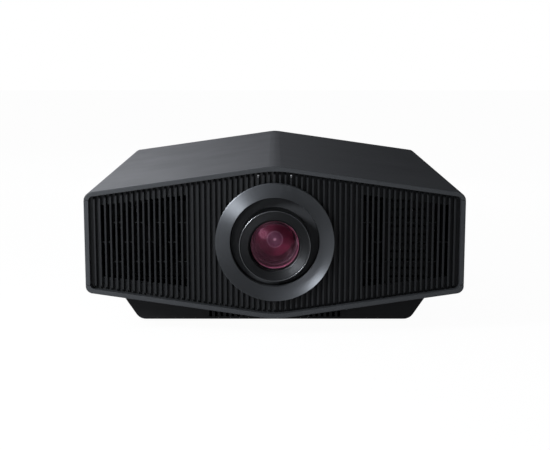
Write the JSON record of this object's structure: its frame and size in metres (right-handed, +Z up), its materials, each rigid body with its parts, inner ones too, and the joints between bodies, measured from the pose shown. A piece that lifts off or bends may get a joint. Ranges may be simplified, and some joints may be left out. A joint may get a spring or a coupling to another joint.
{
  "type": "home cinema projector",
  "caption": "Charcoal six-sided home cinema projector with a ribbed front grille, a dished ring round a shifting lens, a flared base on levelling feet and rear sockets.",
  "frame": {"origin": "bottom centre of the box, on the surface under the feet", "axes": "+Z up, lens towards -Y, +X to the right of someone facing the lens"},
  "size_m": [0.46, 0.532, 0.2105],
  "materials": {
    "housing": "fine satin texture, charcoal black",
    "grille": "satin black",
    "mesh": "black coated sheet",
    "light_guide": "clear milky",
    "lens_ring": "dark anodised, turned",
    "sleeve": "matt black",
    "base": "fine texture, black",
    "insert": "machined",
    "screw": "black zinc",
    "rubber": "matt",
    "sheet_steel": "black coated",
    "shift_metal": "cast, dark",
    "rod": "ground",
    "motor": "plated",
    "barrel": "black anodised",
    "glass": "coated",
    "gear": "moulded",
    "optics": "cast",
    "heat_sink": "extruded",
    "wheel": "phosphor coated",
    "board": "solder mask",
    "fan": "moulded",
    "socket_metal": "plated",
    "socket_plastic": "moulded",
    "keypad": "satin",
    "key": "satin"
  },
  "bodies": {
    "projector": {"top_cover": "housing", "left_side_panel": "housing", "right_side_panel": "housing", "lower_cover": "housing", "front_grille": "grille", "vent_mesh_plate": "mesh", "indicator_light_guides": "light_guide", "lens_ring": "lens_ring", "lens_aperture_sleeve": "sleeve", "base_pan": "base", "ceiling_mount_inserts": "insert", "base_screws": "screw", "rear_feet": "rubber", "chassis_plate": "sheet_steel", "lens_shift_frame": "shift_metal", "upright_guide_rods": "rod", "lift_motor": "motor", "optical_block": "optics", "imaging_panels": "heat_sink", "laser_module": "heat_sink", "laser_heat_sink": "heat_sink", "power_supply_board": "board", "main_board": "board", "fan_frames": "fan", "fan_ducts": "sleeve", "rear_grille": "grille", "connector_panel": "sheet_steel", "hdmi_sockets": "socket_metal", "lan_socket": "socket_metal", "usb_socket": "socket_metal", "serial_port": "socket_metal", "jack_sockets": "socket_plastic", "ac_inlet": "socket_plastic", "keypad_plate": "keypad", "keypad_board": "board"},
    "lift": {"lift_carriage": "shift_metal", "cross_guide_rods": "rod", "cross_motor": "motor"},
    "lens": {"cross_carriage": "shift_metal", "lens_barrel": "barrel", "lens_retaining_ring": "barrel", "front_glass": "glass", "second_glass": "glass", "focus_motor": "motor", "zoom_motor": "motor"},
    "lift_screw": {"lift_screw": "rod"},
    "cross_screw": {"cross_screw": "rod"},
    "focus_ring": {"focus_ring": "gear"},
    "zoom_ring": {"zoom_ring": "gear"},
    "focus_pinion": {"focus_pinion": "gear"},
    "zoom_pinion": {"zoom_pinion": "gear"},
    "left_front_foot": {"left_front_foot": "rubber"},
    "right_front_foot": {"right_front_foot": "rubber"},
    "power_key": {"power_key": "key"},
    "input_key": {"input_key": "key"},
    "menu_key": {"menu_key": "key"},
    "direction_key": {"direction_key": "key"},
    "left_fan_rotor": {"left_fan_rotor": "fan"},
    "right_fan_rotor": {"right_fan_rotor": "fan"},
    "phosphor_wheel": {"phosphor_wheel": "wheel"}
  },
  "joints": [
    {"name": "lens_lift", "type": "slide", "parent": "projector", "child": "lift", "axis": [0, 0, 1], "range_m": [-0.0045, 0.0085]},
    {"name": "lens_cross", "type": "slide", "parent": "lift", "child": "lens", "axis": [1, 0, 0], "range_m": [-0.005, 0.005]},
    {"name": "lift_screw_turn", "type": "hinge", "parent": "projector", "child": "lift_screw", "pos_m": [-0.052, -0.03, 0.116], "axis": [0, 0, 1], "range_deg": [-460, 860]},
    {"name": "cross_screw_turn", "type": "hinge", "parent": "lift", "child": "cross_screw", "pos_m": [0, -0.05, 0.077], "axis": [1, 0, 0], "range_deg": [-505, 505]},
    {"name": "focus_turn", "type": "hinge", "parent": "lens", "child": "focus_ring", "pos_m": [0, -0.145, 0.116], "axis": [0, 1, 0], "range_deg": [-60, 60]},
    {"name": "zoom_turn", "type": "hinge", "parent": "lens", "child": "zoom_ring", "pos_m": [0, -0.105, 0.116], "axis": [0, 1, 0], "range_deg": [-40, 40]},
    {"name": "focus_pinion_turn", "type": "hinge", "parent": "lens", "child": "focus_pinion", "pos_m": [0.03472, -0.145, 0.15072], "axis": [0, 1, 0], "range_deg": [-405, 405]},
    {"name": "zoom_pinion_turn", "type": "hinge", "parent": "lens", "child": "zoom_pinion", "pos_m": [-0.03472, -0.105, 0.15072], "axis": [0, 1, 0], "range_deg": [-270, 270]},
    {"name": "left_foot_height", "type": "slide", "parent": "projector", "child": "left_front_foot", "axis": [0, 0, -1], "range_m": [0, 0.01]},
    {"name": "right_foot_height", "type": "slide", "parent": "projector", "child": "right_front_foot", "axis": [0, 0, -1], "range_m": [0, 0.01]},
    {"name": "power_key_press", "type": "slide", "parent": "projector", "child": "power_key", "axis": [-1, 0, 0], "range_m": [0, 0.0008], "stiffness_N_per_m": 500},
    {"name": "input_key_press", "type": "slide", "parent": "projector", "child": "input_key", "axis": [-1, 0, 0], "range_m": [0, 0.0008], "stiffness_N_per_m": 500},
    {"name": "menu_key_press", "type": "slide", "parent": "projector", "child": "menu_key", "axis": [-1, 0, 0], "range_m": [0, 0.0008], "stiffness_N_per_m": 500},
    {"name": "direction_key_press", "type": "slide", "parent": "projector", "child": "direction_key", "axis": [-1, 0, 0], "range_m": [0, 0.0008], "stiffness_N_per_m": 500},
    {"name": "left_fan_spin", "type": "hinge", "parent": "projector", "child": "left_fan_rotor", "pos_m": [-0.156, -0.2135, 0.1187], "axis": [0, 1, 0], "continuous": true},
    {"name": "right_fan_spin", "type": "hinge", "parent": "projector", "child": "right_fan_rotor", "pos_m": [0.156, -0.2135, 0.1187], "axis": [0, 1, 0], "continuous": true},
    {"name": "phosphor_wheel_spin", "type": "hinge", "parent": "projector", "child": "phosphor_wheel", "pos_m": [0.14, 0.122, 0.093], "axis": [0, 1, 0], "continuous": true}
  ],
  "couplings": [
    {"joint": "lift_screw_turn", "follows": "lens_lift", "rad_per_m": 1570.8},
    {"joint": "cross_screw_turn", "follows": "lens_cross", "rad_per_m": 1570.8},
    {"joint": "focus_pinion_turn", "follows": "focus_turn", "ratio": -6},
    {"joint": "zoom_pinion_turn", "follows": "zoom_turn", "ratio": -6}
  ]
}
